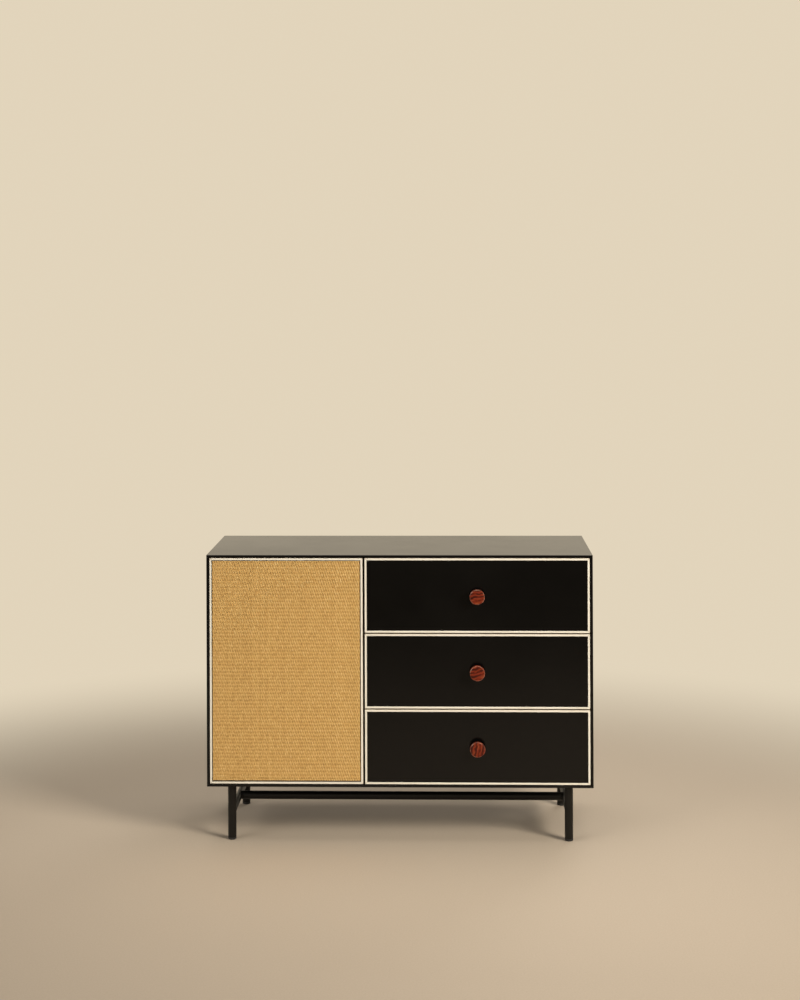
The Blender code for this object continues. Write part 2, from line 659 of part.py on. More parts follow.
def build_drawer(number):
    """One drawer: an edged front with its knob, and a grooved box behind it."""
    name = f"drawer_{number}"
    slide = empty(f"{name}_slide", (DRAWERS_MIDDLE, FRONT, drawer_base(number)))

    rim = EDGING + SEAT_GAP
    reach = DRAWER_WIDTH / 2 - rim
    groove = FRONT_THICKNESS - FRONT_GROOVE
    outline = [
        (0, rim),
        (FRONT_THICKNESS, rim),
        (FRONT_THICKNESS, BOX_FLOOR - SEAT_GAP),
        (groove, BOX_FLOOR - SEAT_GAP),
        (groove, BOX_FLOOR_TOP + SEAT_GAP),
        (FRONT_THICKNESS, BOX_FLOOR_TOP + SEAT_GAP),
        (FRONT_THICKNESS, DRAWER_HEIGHT - rim),
        (0, DRAWER_HEIGHT - rim),
    ]
    front = make_object(f"{name}_front", prism(outline, "X", -reach, reach), BLACK_LACQUER, slide)
    middle = (0, 0, DRAWER_HEIGHT / 2)
    make_object(f"{name}_edging", edging_frame(DRAWER_WIDTH, DRAWER_HEIGHT), CREAM_LACQUER, slide, middle)

    knob = make_object(f"{name}_knob", turned(knob_profile(), KNOB_SIDES), STRIPED_WOOD, slide, middle,
                       TO_FRONT)
    shade_round(knob)
    hole = rod(KNOB_STEM_DIAMETER / 2 + SEAT_GAP, -KNOB_STEM_LENGTH - SEAT_GAP, KNOB_PROJECTION, PIN_SIDES)
    cut(front, make_object(f"{name}_knob_hole", hole, parent=slide, location=middle, rotation=TO_FRONT))

    drawer_side(f"{name}_side_left", BOX_LEFT, 1, slide)
    drawer_side(f"{name}_side_right", BOX_RIGHT, -1, slide)

    tongue = BOX_BACK_HOUSING - SEAT_GAP
    low = (BOX_INNER_LEFT - tongue, BOX_BACK_START, BOX_FLOOR_TOP + SEAT_GAP)
    high = (BOX_INNER_RIGHT + tongue, BOX_BACK_END, BOX_TOP - BOX_BACK_DROP)
    make_object(f"{name}_back", block(low, high), PALE_WOOD, slide)

    tongue = BOX_BOTTOM_GROOVE - SEAT_GAP
    low = (BOX_INNER_LEFT - tongue, groove + SEAT_GAP, BOX_FLOOR)
    high = (BOX_INNER_RIGHT + tongue, BOX_END, BOX_FLOOR_TOP)
    make_object(f"{name}_bottom", block(low, high), PALE_WOOD, slide)


def main():
    clear_scene()
    top, bottom, left, divider = build_carcass()
    build_shelf(left, divider)
    build_runners()
    build_base()
    build_door(top, bottom)
    build_latch()
    for number in range(1, DRAWER_COUNT + 1):
        build_drawer(number)


main()
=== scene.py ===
"""Looks of a low black commode with a woven straw door and three drawers.

Metres, in the frame's own axes: X to the right, Y from the fronts to the back, Z up.
"""
import json
import math
import random

import bmesh
import bpy
from mathutils import Matrix, Vector, noise

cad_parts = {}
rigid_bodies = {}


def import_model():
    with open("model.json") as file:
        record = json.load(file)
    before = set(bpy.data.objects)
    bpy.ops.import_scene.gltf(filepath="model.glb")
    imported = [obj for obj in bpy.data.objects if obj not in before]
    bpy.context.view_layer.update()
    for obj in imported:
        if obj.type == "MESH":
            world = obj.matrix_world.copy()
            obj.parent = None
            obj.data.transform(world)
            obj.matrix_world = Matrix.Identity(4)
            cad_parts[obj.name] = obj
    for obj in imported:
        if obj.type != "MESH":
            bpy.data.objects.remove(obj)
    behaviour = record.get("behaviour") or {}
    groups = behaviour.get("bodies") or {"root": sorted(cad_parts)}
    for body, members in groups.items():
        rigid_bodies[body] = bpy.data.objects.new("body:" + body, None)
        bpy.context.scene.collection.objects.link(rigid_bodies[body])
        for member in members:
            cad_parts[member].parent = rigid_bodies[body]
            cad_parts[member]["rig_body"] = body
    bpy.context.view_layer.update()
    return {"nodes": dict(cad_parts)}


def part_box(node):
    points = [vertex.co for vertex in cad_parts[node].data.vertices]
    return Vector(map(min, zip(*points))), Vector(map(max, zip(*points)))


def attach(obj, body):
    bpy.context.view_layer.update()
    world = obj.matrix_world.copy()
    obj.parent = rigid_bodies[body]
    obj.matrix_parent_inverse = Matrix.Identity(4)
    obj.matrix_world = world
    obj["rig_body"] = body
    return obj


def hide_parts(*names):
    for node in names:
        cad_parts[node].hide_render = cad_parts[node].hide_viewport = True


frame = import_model()
solids = frame["nodes"]
chance = random.Random(41)

# Camera of the photograph, with its shift in pixels of an 800 by 1000 frame
PHOTO_HEIGHT = 1000
CAMERA_PLACE = (0.1425, -5.0213, 1.5444)
CAMERA_FOCUS = 1700.0
CAMERA_DROP = 207.74
CAMERA_YAW = math.radians(1.616)
CAMERA_PITCH = math.radians(0.242)
CAMERA_ROLL = math.radians(-0.216)
SENSOR = 36.0

# Sizes taken over from the solids
EDGING = 0.0070
TUBE_RADIUS = 0.0120
RAIL_RADIUS = 0.0095
LEG_PLATE_RADIUS = 0.0200
LEG_PLATE_THICKNESS = 0.0025
KNOB_RADIUS = 0.0215
KNOB_HEAD = 0.0140
KNOB_PROJECTION = 0.0300
KNOB_NECK_RADIUS = 0.0110
KNOB_STEM_RADIUS = 0.0040
KNOB_STEM_LENGTH = 0.0120
SEAT_GAP = 0.0003

# Edging strips: a cream face, and a step along the inner edge, lacquered black as partly painted shade, that
# makes a shadow line
EDGING_FACE = 0.0060
EDGING_STEP = 0.0012

# Eased edges, and the distance under which points are welded
WELD = 0.00001
FLAT_ANGLE = math.radians(0.5)
HARD_ANGLE = math.radians(30)
EASE_STEPS = 2
BOARD_EASE = 0.0004
FRONT_EASE = 0.0002
EDGING_EASE = 0.0009
BOX_EASE = 0.0006
FITTING_EASE = 0.0003
SCRIM_EASE = 0.0003

# Angles in degrees under which a piece is shaded smooth
TURNED_CREASE = 40
SCREW_CREASE = 30
STRAND_CREASE = 60

# Straw weave: its pitches, one straw's shape and its way over and under the warps
STRAW_PITCH = 0.00226
STRAWS_PER_STEP = 3
ROW_PITCH = 0.0101
STRAW_WIDTH = 0.0030
STRAW_WIDTH_RANGE = (0.90, 1.06)
STRAW_STRAY = 0.07
STRAW_SWELL = 0.16
ROW_SWELL = 0.06
DRIFT_SWELL = 0.06
STRAW_CROWN = 0.00045
CROWN_ROOM = 0.00005
STRAW_DIVE = 0.00043
STRAW_EVEN = 0.65
DIVE_UNEVEN = 0.15
PRESS_POWER = 0.75
STRAW_SLANT = 0.00050
STRAW_TWIST = 1.2
STRAW_DRIFT = 0.00030
SWAY_TURN = 0.16
ROW_DIP = 0.00045
STRAW_ACROSS = 2
STEPS_PER_ROW = 4
WARP_RADIUS = 0.0006
WARP_SIDES = 6
WARP_FORWARD = 0.0003
WEAVE_REACH = 0.0006
WEAVE_LIFT = 0.0016
SCRIM_GAP = 0.00015

# Tones of the weave, from dark straw at 0 to light straw at 1, with painted shade and painted light laid into
# the same scale
STRAW_TONE = 0.66
STRAW_TONE_SPREAD = 0.03
WARP_TONE = 0.60
# Painted shade: darker where straws dive into the hollows, and darker along the row lines
HOLLOW_SHADE = 0.06
ROW_SHADE = 0.19
STITCH_TONE = 0.19
FLECK_TONE = 0.38
DRIFT_TONE = 0.05
# Painted light and shade: raised parts of each stitch lighter and diving parts darker, growing to the right
# and uneven from stitch to stitch
RAISED_STITCH_LIGHT = 0.11
RAISED_STITCH_LIGHT_SPREAD = 0.16

# Unevenness of the weave: change from straw to straw, change along a straw, and layer of the noise
DRIFT = (0.71, 26.0, 0.0)
SWAY = (0.06, 6.0, 7.0)
STITCH = (3.7, 1.0, 3.0)
FLECK = (5.3, 2.3, 11.0)

# Turned knobs: drawer, turn of the stripes in degrees and shift along the wood
KNOB_STRIPES = ((1, 8, 0.0), (2, 16, 0.31), (3, 79, 0.12))
KNOB_SIDES = 64
KNOB_RIM = 0.0024
KNOB_CROWN = 0.0006
CROWN_SHARES = (0.9, 0.7, 0.45, 0.2, 0.0)
POLISHED_SLOPE = (0.15, 0.97)
ARC_STEPS = 8

# Tubular base
TUBE_SIDES = 48
PLATE_CHAMFER = 0.0004
FOOT_CHAMFER = 0.0005
LEG_FILLET = 0.0016
BEAD_RADIUS = 0.0011
BEAD_STEPS = 32

# Screw heads: shares of the radius or height, then each kind's radius and height
SCREW_SIDES = 12
HEAD_TAPER = 0.78
HEAD_RIM = 0.30
LOBE_OUT = 0.50
LOBE_IN = 0.34
RECESS_DEPTH = 0.6
KNOB_SCREW = (0.0050, 0.0022)
BACK_SCREW = (0.0032, 0.0007)
RUNNER_SCREW = (0.0030, 0.0004)
LATCH_SCREW = (0.0030, 0.0012)
STRIKE_SCREW = (0.0026, 0.0007)
LEG_SCREW = (0.0028, 0.0012)

# Places of the screws, in metres or as shares of a piece's length
BACK_INSET = 0.0008
BACK_SCREW_EDGE = 0.0055
BACK_SCREWS_ACROSS = (0.02, 0.18, 0.34, 0.50, 0.66, 0.82, 0.98)
BACK_SCREWS_UP = (0.25, 0.5, 0.75)
RUNNER_SCREWS_ALONG = (0.08, 0.5, 0.92)
RUNNER_SCREW_SINK = 0.0002
LATCH_SCREWS_ALONG = (0.2, 0.8)
STRIKE_SCREW_EDGE = 0.005
LEG_SCREW_CIRCLE = 0.0162
LEG_SCREWS = 3

# Black lacquer of the carcass, also in the step of the edging, where it is partly painted shade of the shadow
# line
BLACK_DEEP = (0.0014, 0.0013, 0.0012)
BLACK_CLOUDED = (0.0024, 0.0022, 0.0019)

# Studio: backdrop, floor and ambient light
BACKDROP = (0.76, 0.66, 0.50)
FLOOR_NEAR = (0.52, 0.425, 0.32)
FLOOR_SHADE = 0.90
FLOOR_REACH = 40.0
FLOOR_MIDDLE = (0.0, -0.6, 0.0)
FADE_START = 1.3
FADE_END = 2.9
AMBIENT = (1.0, 0.97, 0.92)
AMBIENT_STRENGTH = 0.20

# Soft lamps: name, place, target, size, power, tint and whether reflections show them
BEAM_SPREAD = math.radians(75)
KEY_PLACE = (3.3, -2.8, 2.5)
FRONT_MIDDLE = (0.0, -0.1, 0.4)
KEY_TINT = (1.0, 0.955, 0.88)
FILL_TINT = (1.0, 0.98, 0.95)
TOP_TINT = (1.0, 0.97, 0.92)
LAMPS = (
    ("key_softbox", KEY_PLACE, FRONT_MIDDLE, 1.6, 41.5, KEY_TINT, False),
    ("key_sheen", KEY_PLACE, FRONT_MIDDLE, 1.6, 5.5, KEY_TINT, True),
    ("fill_softbox", (-3.0, -2.6, 2.2), FRONT_MIDDLE, 2.2, 9.5, FILL_TINT, True),
    ("top_softbox", (0.0, 0.2, 3.2), (0.0, 0.0, 0.0), 2.4, 8.0, TOP_TINT, True),
    ("rear_softbox", (1.9, 3.4, 2.7), (0.0, 0.3, 0.3), 2.0, 9.0, FILL_TINT, True),
)

# Sockets of the node that mixes colours
MIX_SHARE = 0
MIX_FIRST = 6
MIX_SECOND = 7
MIX_RESULT = 2


# Shader helpers

def add_node(tree, kind, inputs=None, **settings):
    """A node with its settings, values and incoming links."""
    made = tree.nodes.new(kind)
    for name, value in settings.items():
        setattr(made, name, value)
    for socket, value in (inputs or {}).items():
        if isinstance(value, bpy.types.NodeSocket):
            tree.links.new(value, made.inputs[socket])
        else:
            made.inputs[socket].default_value = value
    return made


def start_group(name, inputs, outputs):
    """An empty shader group with its named sockets."""
    group = bpy.data.node_groups.new(name, "ShaderNodeTree")
    for label, value in inputs:
        kind = "NodeSocketVector" if label == "Vector" else "NodeSocketFloat"
        socket = group.interface.new_socket(label, in_out="INPUT", socket_type=kind)
        if value is not None:
            socket.default_value = value
    for label in outputs:
        group.interface.new_socket(label, in_out="OUTPUT", socket_type="NodeSocketFloat")
    return group, group.nodes.new("NodeGroupInput"), group.nodes.new("NodeGroupOutput")


def use_group(tree, group, inputs):
    """A group placed in a material with its own values."""
    return add_node(tree, "ShaderNodeGroup", inputs, node_tree=group)


def spread(tree, value, low, high, start=0.0, end=1.0):
    """A value moved from one range to another."""
    made = add_node(tree, "ShaderNodeMapRange", {
        "Value": value, "From Min": start, "From Max": end, "To Min": low, "To Max": high})
    return made.outputs["Result"]


def times(tree, first, second):
    """Two values multiplied."""
    made = add_node(tree, "ShaderNodeMath", {0: first, 1: second}, operation="MULTIPLY")
    return made.outputs[0]


def either(tree, first, second):
    """The larger of two values."""
    made = add_node(tree, "ShaderNodeMath", {0: first, 1: second}, operation="MAXIMUM")
    return made.outputs[0]


def blend_values(tree, share, first, second):
    """Two values mixed by a share."""
    made = add_node(tree, "ShaderNodeMix", {0: share, 2: first, 3: second})
    return made.outputs[0]


def blend_colours(tree, share, first, second):
    """Two colours mixed by a share."""
    made = add_node(tree, "ShaderNodeMix", data_type="RGBA")
    for number, value in ((MIX_SHARE, share), (MIX_FIRST, first), (MIX_SECOND, second)):
        if isinstance(value, bpy.types.NodeSocket):
            tree.links.new(value, made.inputs[number])
        else:
            made.inputs[number].default_value = value if number == MIX_SHARE else (*value, 1.0)
    return made.outputs[MIX_RESULT]


def lay_over(tree, colour, mask, share, second):
    """A second colour laid over the first where a mask shows, up to a share."""
    return blend_colours(tree, times(tree, mask, share), colour, second)


def colour_ramp(tree, value, first, last, between):
    """Colours along a value, with stops between the first and the last."""
    ramp = add_node(tree, "ShaderNodeValToRGB", {"Fac": value})
    stops = ramp.color_ramp.elements
    stops[0].color = (*first, 1.0)
    stops[1].color = (*last, 1.0)
    for position, colour in between:
        stops.new(position).color = (*colour, 1.0)
    return ramp.outputs["Color"]


def read_attribute(tree, name):
    """A piece's own attribute."""
    return add_node(tree, "ShaderNodeAttribute", attribute_name=name).outputs["Fac"]


def start_material(name, roughness=0.5, metallic=0.0, shine=0.5):
    """A Principled material with its constant values set on the shader."""
    material = bpy.data.materials.new(name)
    material.use_nodes = True
    tree = material.node_tree
    shader = tree.nodes["Principled BSDF"]
    shader.inputs["Roughness"].default_value = roughness
    shader.inputs["Metallic"].default_value = metallic
    shader.inputs["Specular IOR Level"].default_value = shine
    place = add_node(tree, "ShaderNodeTexCoord").outputs["Object"]
    return material, tree, shader, place


def raise_surface(tree, shader, height, strength, distance):
    """Relief from a height."""
    bump = add_node(tree, "ShaderNodeBump", {"Strength": strength, "Distance": distance, "Height": height})
    tree.links.new(bump.outputs["Normal"], shader.inputs["Normal"])


# Shared effects

def make_coat_group():
    """Broad clouding and a fine sprayed skin."""
    group, given, result = start_group(
        "sprayed_coat", [("Vector", None), ("Cloud Scale", 5.0), ("Skin Scale", 400.0)], ["Cloud", "Skin"])
    cloud = add_node(group, "ShaderNodeTexNoise", {
        "Vector": given.outputs["Vector"], "Scale": given.outputs["Cloud Scale"], "Detail": 4.0,
        "Roughness": 0.6})
    skin = add_node(group, "ShaderNodeTexNoise", {
        "Vector": given.outputs["Vector"], "Scale": given.outputs["Skin Scale"], "Detail": 2.0,
        "Roughness": 0.5})
    clouding = spread(group, cloud.outputs["Fac"], 0.0, 1.0, start=0.3, end=0.7)
    group.links.new(clouding, result.inputs["Cloud"])
    group.links.new(skin.outputs["Fac"], result.inputs["Skin"])
    return group


def make_wear_and_light_group():
    """Eased faces of a piece, broken up by noise: worn edges, which on the cream edging also carry painted
    shade and on the knobs a painted highlight.
    """
    group, given, result = start_group("rubbed_edge_and_light", [("Vector", None), ("Scale", 60.0)], ["Rub"])
    edge = read_attribute(group, "arris")
    patches = add_node(group, "ShaderNodeTexNoise", {
        "Vector": given.outputs["Vector"], "Scale": given.outputs["Scale"], "Detail": 5.0, "Roughness": 0.65})
    broken = spread(group, patches.outputs["Fac"], 0.0, 1.0, start=0.42, end=0.68)
    group.links.new(times(group, edge, broken), result.inputs["Rub"])
    return group


def make_dust_group():
    """Fine dust that lies on faces that look up."""
    group, given, result = start_group("settled_dust", [("Vector", None), ("Scale", 30.0)], ["Dust"])
    facing = add_node(group, "ShaderNodeNewGeometry")
    split = add_node(group, "ShaderNodeSeparateXYZ", {"Vector": facing.outputs["Normal"]})
    upward = spread(group, split.outputs["Z"], 0.0, 1.0, start=0.6, end=1.0)
    drift = add_node(group, "ShaderNodeTexNoise", {
        "Vector": given.outputs["Vector"], "Scale": given.outputs["Scale"], "Detail": 8.0, "Roughness": 0.7})
    speck = spread(group, drift.outputs["Fac"], 0.0, 1.0, start=0.45, end=0.75)
    group.links.new(times(group, upward, speck), result.inputs["Dust"])
    return group


def make_grain_group():
    """Wood with growth bands, fibres and pores along its local X axis."""
    group, given, result = start_group(
        "wood_grain",
        [("Vector", None), ("Band Scale", 60.0), ("Fibre Scale", 500.0), ("Waver", 0.6)],
        ["Band", "Fibre", "Pore"])
    band_stretch = (0.09, 1.0, 1.0)
    fibre_stretch = (0.03, 1.0, 1.0)
    stretch = add_node(group, "ShaderNodeMapping", {
        "Vector": given.outputs["Vector"], "Scale": band_stretch})
    band = add_node(group, "ShaderNodeTexNoise", {
        "Vector": stretch.outputs["Vector"], "Scale": given.outputs["Band Scale"], "Detail": 3.0,
        "Roughness": 0.55, "Distortion": given.outputs["Waver"]})
    thin = add_node(group, "ShaderNodeMapping", {
        "Vector": given.outputs["Vector"], "Scale": fibre_stretch})
    fibre = add_node(group, "ShaderNodeTexNoise", {
        "Vector": thin.outputs["Vector"], "Scale": given.outputs["Fibre Scale"], "Detail": 4.0,
        "Roughness": 0.6})
    bands = spread(group, band.outputs["Fac"], 0.0, 1.0, start=0.3, end=0.7)
    fibres = spread(group, fibre.outputs["Fac"], 0.0, 1.0, start=0.3, end=0.7)
    pores = spread(group, fibre.outputs["Fac"], 0.0, 1.0, start=0.62, end=0.72)
    group.links.new(bands, result.inputs["Band"])
    group.links.new(fibres, result.inputs["Fibre"])
    group.links.new(pores, result.inputs["Pore"])
    return group


coat_group = make_coat_group()
wear_and_light_group = make_wear_and_light_group()
dust_group = make_dust_group()
grain_group = make_grain_group()


# Finishes

def make_black_lacquer():
    """Satin black lacquer with a faint sprayed skin, dust on top and lightly rubbed edges."""
    material, tree, shader, place = start_material("satin_black_lacquer", shine=0.29)
    pale_dust = (0.25, 0.23, 0.20)
    rubbed_black = (0.20, 0.17, 0.14)
    coat = use_group(tree, coat_group, {"Vector": place, "Cloud Scale": 4.0, "Skin Scale": 420.0})
    edge_mark = use_group(tree, wear_and_light_group, {"Vector": place, "Scale": 70.0}).outputs["Rub"]
    dust = use_group(tree, dust_group, {"Vector": place, "Scale": 45.0}).outputs["Dust"]
    cloud = coat.outputs["Cloud"]
    colour = blend_colours(tree, cloud, BLACK_DEEP, BLACK_CLOUDED)
    colour = lay_over(tree, colour, dust, 0.012, pale_dust)
    colour = lay_over(tree, colour, edge_mark, 0.06, rubbed_black)
    tree.links.new(colour, shader.inputs["Base Color"])
    tree.links.new(spread(tree, cloud, 0.14, 0.21), shader.inputs["Roughness"])
    raise_surface(tree, shader, coat.outputs["Skin"], strength=0.06, distance=0.0003)
    return material


def make_cream_lacquer():
    """Satin cream lacquer on the edging's face, with its sides browned as painted shade, its step lacquered
    black as partly painted shade, and rubbed edges darkened partly by wear and partly as painted shade.
    """
    material, tree, shader, place = start_material("satin_cream_lacquer")
    cream = (0.79, 0.74, 0.615)
    light_cream = (0.85, 0.80, 0.68)
    side_shade_brown = (0.36, 0.24, 0.12)
    rubbed_and_shaded_cream = (0.40, 0.29, 0.17)
    coat = use_group(tree, coat_group, {"Vector": place, "Cloud Scale": 14.0, "Skin Scale": 900.0})
    edge_mark = use_group(tree, wear_and_light_group, {"Vector": place, "Scale": 110.0}).outputs["Rub"]
    cloud = coat.outputs["Cloud"]
    colour = blend_colours(tree, cloud, cream, light_cream)
    # Painted shade: the strips' side faces, seen in the gaps between fronts, are browned to stand for the
    # shade in the gaps
    colour = lay_over(tree, colour, read_attribute(tree, "strip_side_shade"), 0.75, side_shade_brown)
    # The step is lacquered black, partly as painted shade of the shadow line along the inner edge
    colour = blend_colours(tree, read_attribute(tree, "strip_step_shade"), colour, BLACK_CLOUDED)
    # Darker brown on the eased front edges, broken by noise: partly wear and partly painted shade that
    # narrows the cream face
    colour = lay_over(tree, colour, edge_mark, 0.45, rubbed_and_shaded_cream)
    tree.links.new(colour, shader.inputs["Base Color"])
    tree.links.new(spread(tree, cloud, 0.36, 0.46), shader.inputs["Roughness"])
    raise_surface(tree, shader, coat.outputs["Skin"], strength=0.08, distance=0.0002)
    return material


def make_straw():
    """Honey straw: every strand has its own straw colour, with fibres along it. The attribute it reads also
    holds painted shade in the hollows and between the rows, and painted light on the raised stitches.
    """
    material, tree, shader, place = start_material("honey_straw", roughness=0.6)
    dark_straw = (0.175, 0.083, 0.019)
    light_straw = (0.80, 0.575, 0.260)
    between = ((0.30, (0.395, 0.218, 0.058)), (0.62, (0.645, 0.402, 0.131)))
    brown_streak = (0.36, 0.19, 0.05)
    ripe_straw = (0.55, 0.25, 0.06)
    tone = read_attribute(tree, "straw_tone_and_shade")
    upright = add_node(tree, "ShaderNodeMapping", {"Vector": place, "Scale": (1.0, 1.0, 0.03)})
    fibre = add_node(tree, "ShaderNodeTexNoise", {
        "Vector": upright.outputs["Vector"], "Scale": 3600.0, "Detail": 3.0, "Roughness": 0.6})
    fleck = add_node(tree, "ShaderNodeTexNoise", {
        "Vector": place, "Scale": 140.0, "Detail": 4.0, "Roughness": 0.6})
    colour = colour_ramp(tree, tone, dark_straw, light_straw, between)
    streak = spread(tree, fibre.outputs["Fac"], 0.0, 0.42, start=0.42, end=0.70)
    colour = blend_colours(tree, streak, colour, brown_streak)
    ripe = spread(tree, fleck.outputs["Fac"], 0.0, 0.25, start=0.5, end=0.75)
    colour = blend_colours(tree, ripe, colour, ripe_straw)
    tree.links.new(colour, shader.inputs["Base Color"])
    tree.links.new(spread(tree, fibre.outputs["Fac"], 0.50, 0.72), shader.inputs["Roughness"])
    raise_surface(tree, shader, fibre.outputs["Fac"], strength=0.25, distance=0.0002)
    return material


def make_striped_wood(name, middle, angle, shift):
    """Oiled reddish hardwood with dark stripes at an angle across the knob's face."""
    material, tree, shader, place = start_material(name, shine=0.20)
    shader.inputs["Coat Roughness"].default_value = 0.14
    darkest = (0.012, 0.002, 0.001)
    lightest = (0.42, 0.110, 0.030)
    between = (
        (0.33, (0.024, 0.003, 0.002)),
        (0.46, (0.105, 0.008, 0.003)),
        (0.60, (0.235, 0.034, 0.006)),
        (0.76, (0.165, 0.015, 0.011)),
    )
    dark_fibre = (0.075, 0.012, 0.006)
    dark_pore = (0.020, 0.004, 0.002)
    edge_wood = (0.52, 0.23, 0.14)
    band_share = 0.52
    centred = add_node(tree, "ShaderNodeMapping", {
        "Vector": place, "Location": [-value for value in middle]})
    turned_grain = add_node(tree, "ShaderNodeMapping", {
        "Vector": centred.outputs["Vector"], "Rotation": (0.0, angle, 0.0), "Location": (shift, 0.0, shift)})
    grain = use_group(tree, grain_group, {
        "Vector": turned_grain.outputs["Vector"], "Band Scale": 260.0, "Fibre Scale": 1400.0, "Waver": 0.9})
    stripes = add_node(tree, "ShaderNodeTexWave", {
        "Vector": turned_grain.outputs["Vector"], "Scale": 30.0, "Distortion": 5.5, "Detail": 3.0,
        "Detail Scale": 1.5}, bands_direction="Z")
    figure = blend_values(tree, band_share, stripes.outputs["Fac"], grain.outputs["Band"])
    colour = colour_ramp(tree, figure, darkest, lightest, between)
    fine = spread(tree, grain.outputs["Fibre"], 0.50, 0.0)
    colour = blend_colours(tree, fine, colour, dark_fibre)
    colour = lay_over(tree, colour, grain.outputs["Pore"], 0.7, dark_pore)
    # Lighter wood on the eased rim, broken by noise: partly worn wood and partly a painted highlight
    edge_mark = use_group(tree, wear_and_light_group, {"Vector": place, "Scale": 90.0}).outputs["Rub"]
    colour = lay_over(tree, colour, edge_mark, 0.7, edge_wood)
    tree.links.new(colour, shader.inputs["Base Color"])
    polish = read_attribute(tree, "arris")
    tree.links.new(times(tree, polish, 0.9), shader.inputs["Coat Weight"])
    tree.links.new(spread(tree, grain.outputs["Fibre"], 0.40, 0.28), shader.inputs["Roughness"])
    raise_surface(tree, shader, grain.outputs["Fibre"], strength=0.12, distance=0.0002)
    return material


def make_pale_wood(name, turn):
    """Matt clear-lacquered pale hardwood, its grain turned along the board."""
    material, tree, shader, place = start_material(name)
    dark_band = (0.50, 0.355, 0.205)
    light_band = (0.64, 0.49, 0.315)
    dark_fibre = (0.42, 0.27, 0.14)
    dark_pore = (0.28, 0.16, 0.075)
    edge_wood = (0.36, 0.24, 0.13)
    along = add_node(tree, "ShaderNodeMapping", {"Vector": place, "Rotation": (0.0, 0.0, turn)})
    grain = use_group(tree, grain_group, {
        "Vector": along.outputs["Vector"], "Band Scale": 45.0, "Fibre Scale": 650.0, "Waver": 0.5})
    edge_mark = use_group(tree, wear_and_light_group, {"Vector": place, "Scale": 50.0}).outputs["Rub"]
    colour = blend_colours(tree, grain.outputs["Band"], dark_band, light_band)
    fibre = spread(tree, grain.outputs["Fibre"], 0.30, 0.0)
    colour = blend_colours(tree, fibre, colour, dark_fibre)
    colour = lay_over(tree, colour, grain.outputs["Pore"], 0.5, dark_pore)
    colour = lay_over(tree, colour, edge_mark, 0.25, edge_wood)
    tree.links.new(colour, shader.inputs["Base Color"])
    tree.links.new(spread(tree, grain.outputs["Fibre"], 0.62, 0.48), shader.inputs["Roughness"])
    raise_surface(tree, shader, grain.outputs["Fibre"], strength=0.15, distance=0.0003)
    return material


def make_black_steel():
    """Black powder coat with its fine grain."""
    material, tree, shader, place = start_material("black_powder_coat", shine=0.3)
    dark = (0.0028, 0.0024, 0.0018)
    light = (0.0050, 0.0043, 0.0032)
    coat = use_group(tree, coat_group, {"Vector": place, "Cloud Scale": 18.0, "Skin Scale": 1600.0})
    tree.links.new(blend_colours(tree, coat.outputs["Cloud"], dark, light), shader.inputs["Base Color"])
    tree.links.new(spread(tree, coat.outputs["Skin"], 0.34, 0.52), shader.inputs["Roughness"])
    raise_surface(tree, shader, coat.outputs["Skin"], strength=0.22, distance=0.0002)
    return material


def make_nylon(name, dark, light):
    """Moulded nylon with an eroded mould texture."""
    material, tree, shader, place = start_material(name)
    coat = use_group(tree, coat_group, {"Vector": place, "Cloud Scale": 40.0, "Skin Scale": 2600.0})
    tree.links.new(blend_colours(tree, coat.outputs["Cloud"], dark, light), shader.inputs["Base Color"])
    tree.links.new(spread(tree, coat.outputs["Skin"], 0.48, 0.66), shader.inputs["Roughness"])
    raise_surface(tree, shader, coat.outputs["Skin"], strength=0.2, distance=0.0001)
    return material


def make_metal(name, dark, light, smooth, dull):
    """Bare metal with clouding and a fine uneven gloss."""
    material, tree, shader, place = start_material(name, metallic=1.0)
    coat = use_group(tree, coat_group, {"Vector": place, "Cloud Scale": 90.0, "Skin Scale": 2200.0})
    tree.links.new(blend_colours(tree, coat.outputs["Cloud"], dark, light), shader.inputs["Base Color"])
    tree.links.new(spread(tree, coat.outputs["Skin"], smooth, dull), shader.inputs["Roughness"])
    raise_surface(tree, shader, coat.outputs["Skin"], strength=0.06, distance=0.0001)
    return material


def make_scrim():
    """Brown scrim that backs the weave."""
    material, tree, shader, place = start_material("brown_scrim", roughness=0.9)
    dark = (0.32, 0.175, 0.050)
    light = (0.50, 0.295, 0.095)
    threads = {"Vector": place, "Scale": 160.0, "Distortion": 1.5, "Detail": 2.0}
    across = add_node(tree, "ShaderNodeTexWave", threads, bands_direction="X")
    along = add_node(tree, "ShaderNodeTexWave", threads, bands_direction="Z")
    thread = times(tree, across.outputs["Fac"], along.outputs["Fac"])
    tree.links.new(blend_colours(tree, thread, dark, light), shader.inputs["Base Color"])
    raise_surface(tree, shader, thread, strength=0.4, distance=0.0003)
    return material


black_lacquer = make_black_lacquer()
cream_lacquer = make_cream_lacquer()
honey_straw = make_straw()
brown_scrim = make_scrim()
wood_along_x = make_pale_wood("pale_wood_along_x", 0.0)
wood_along_y = make_pale_wood("pale_wood_along_y", math.pi / 2)
black_steel = make_black_steel()
black_nylon = make_nylon("black_moulded_nylon", (0.014, 0.014, 0.014), (0.026, 0.026, 0.025))
grey_nylon = make_nylon("grey_moulded_nylon", (0.22, 0.22, 0.21), (0.29, 0.29, 0.28))
zinc_steel = make_metal("zinc_plated_steel", (0.50, 0.50, 0.49), (0.64, 0.63, 0.61), 0.24, 0.40)
turned_brass = make_metal("turned_brass", (0.55, 0.37, 0.13), (0.66, 0.47, 0.19), 0.22, 0.36)


# Piece helpers

